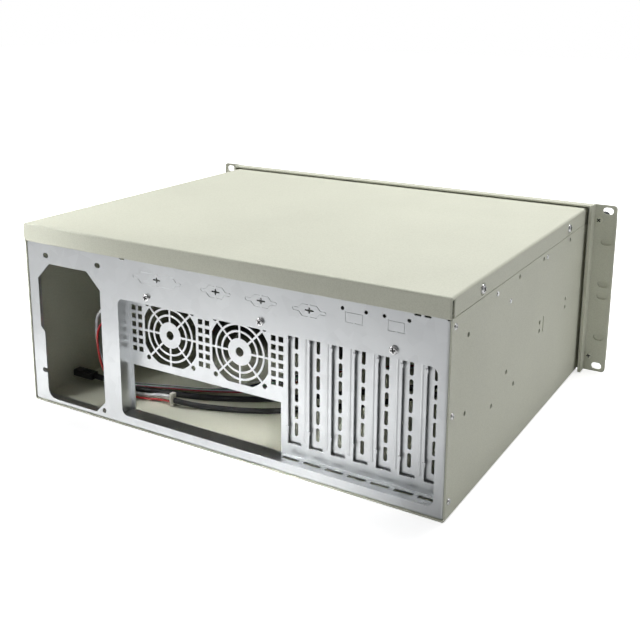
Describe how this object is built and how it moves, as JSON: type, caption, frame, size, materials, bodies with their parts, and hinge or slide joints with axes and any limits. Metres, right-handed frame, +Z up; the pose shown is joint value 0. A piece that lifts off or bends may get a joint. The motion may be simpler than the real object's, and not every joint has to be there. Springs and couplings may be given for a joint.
{
  "type": "empty rackmount server case",
  "caption": "Empty rack-mount computer case of folded steel with a rear panel, expansion slot covers, drop-down front door, rack ears and bow handles.",
  "frame": {"origin": "middle of the case's overall base, on the surface that it stands on", "axes": "+Z up, +X across the width with the power supply opening on the +X side, the front with its door faces -Y and the rear panel faces +Y"},
  "size_m": [0.4826, 0.3966, 0.178],
  "materials": {
    "painted_steel": "fine textured warm grey-beige powder coat",
    "galvanised": "bright zinc-coated sheet with faint spangle",
    "plated_screw": "bright zinc plate",
    "chrome_bar": "polished",
    "black_plastic": "matt moulded",
    "beige_plastic": "matt moulded",
    "white_nylon": "natural nylon",
    "circuit_board": "solder-masked board",
    "clear_lens": "milky lens",
    "black_cable": "flexible jacket",
    "red_insulation": "thin insulation",
    "grey_insulation": "thin insulation",
    "white_insulation": "thin insulation",
    "green_insulation": "thin insulation",
    "blue_insulation": "thin insulation",
    "violet_insulation": "thin insulation"
  },
  "bodies": {
    "case": {"base_shell": "painted_steel", "bay_cover_1": "beige_plastic", "bay_cover_2": "beige_plastic", "bay_cover_3": "beige_plastic", "black_plug": "black_plastic", "bracket_screws": "plated_screw", "control_board": "circuit_board", "cover_screws": "plated_screw", "drive_cage": "galvanised", "ear_left": "painted_steel", "ear_right": "painted_steel", "fan_frame": "black_plastic", "fan_screws": "plated_screw", "front_tray": "painted_steel", "grey_lead": "grey_insulation", "handle_left": "chrome_bar", "handle_plate_left": "painted_steel", "handle_plate_right": "painted_steel", "handle_right": "chrome_bar", "handle_screws": "painted_steel", "hinge_lugs": "painted_steel", "hinge_pins": "plated_screw", "lead_socket": "white_nylon", "led_lenses": "clear_lens", "lock_catch": "galvanised", "main_cable": "black_cable", "rear_panel": "galvanised", "red_lead": "red_insulation", "side_cable": "black_cable", "side_rivets": "plated_screw", "side_studs": "plated_screw", "slot_bracket": "galvanised", "slot_cover_1": "galvanised", "slot_cover_2": "galvanised", "slot_cover_3": "galvanised", "slot_cover_4": "galvanised", "slot_cover_5": "galvanised", "slot_cover_6": "galvanised", "slot_cover_7": "galvanised", "slot_screws": "plated_screw", "top_cover": "painted_steel", "tray_screws": "plated_screw", "usb_ports": "plated_screw", "white_connector": "white_nylon", "wire_blue": "blue_insulation", "wire_green": "green_insulation", "wire_plug": "black_plastic", "wire_red": "red_insulation", "wire_violet": "violet_insulation", "wire_white": "white_insulation"},
    "door": {"front_door": "painted_steel", "lock_housing": "plated_screw"},
    "lock": {"lock_cylinder": "plated_screw"},
    "power_key": {"power_button": "black_plastic"},
    "reset_key": {"reset_button": "black_plastic"},
    "rotor": {"fan_rotor": "black_plastic"}
  },
  "joints": [
    {"name": "door_hinge", "type": "hinge", "parent": "case", "child": "door", "pos_m": [0, -0.16575, 0.0115], "axis": [1, 0, 0], "range_deg": [0, 90]},
    {"name": "lock_turn", "type": "hinge", "parent": "door", "child": "lock", "pos_m": [0.004, -0.17265, 0.158], "axis": [0, 1, 0], "range_deg": [0, 90]},
    {"name": "power_press", "type": "slide", "parent": "case", "child": "power_key", "axis": [0, 1, 0], "range_m": [0, 0.0015], "stiffness_N_per_m": 600, "springref_m": -0.001},
    {"name": "reset_press", "type": "slide", "parent": "case", "child": "reset_key", "axis": [0, 1, 0], "range_m": [0, 0.0015], "stiffness_N_per_m": 400, "springref_m": -0.001},
    {"name": "fan_spin", "type": "hinge", "parent": "case", "child": "rotor", "pos_m": [-0.072, -0.14385, 0.09], "axis": [0, 1, 0], "continuous": true}
  ]
}
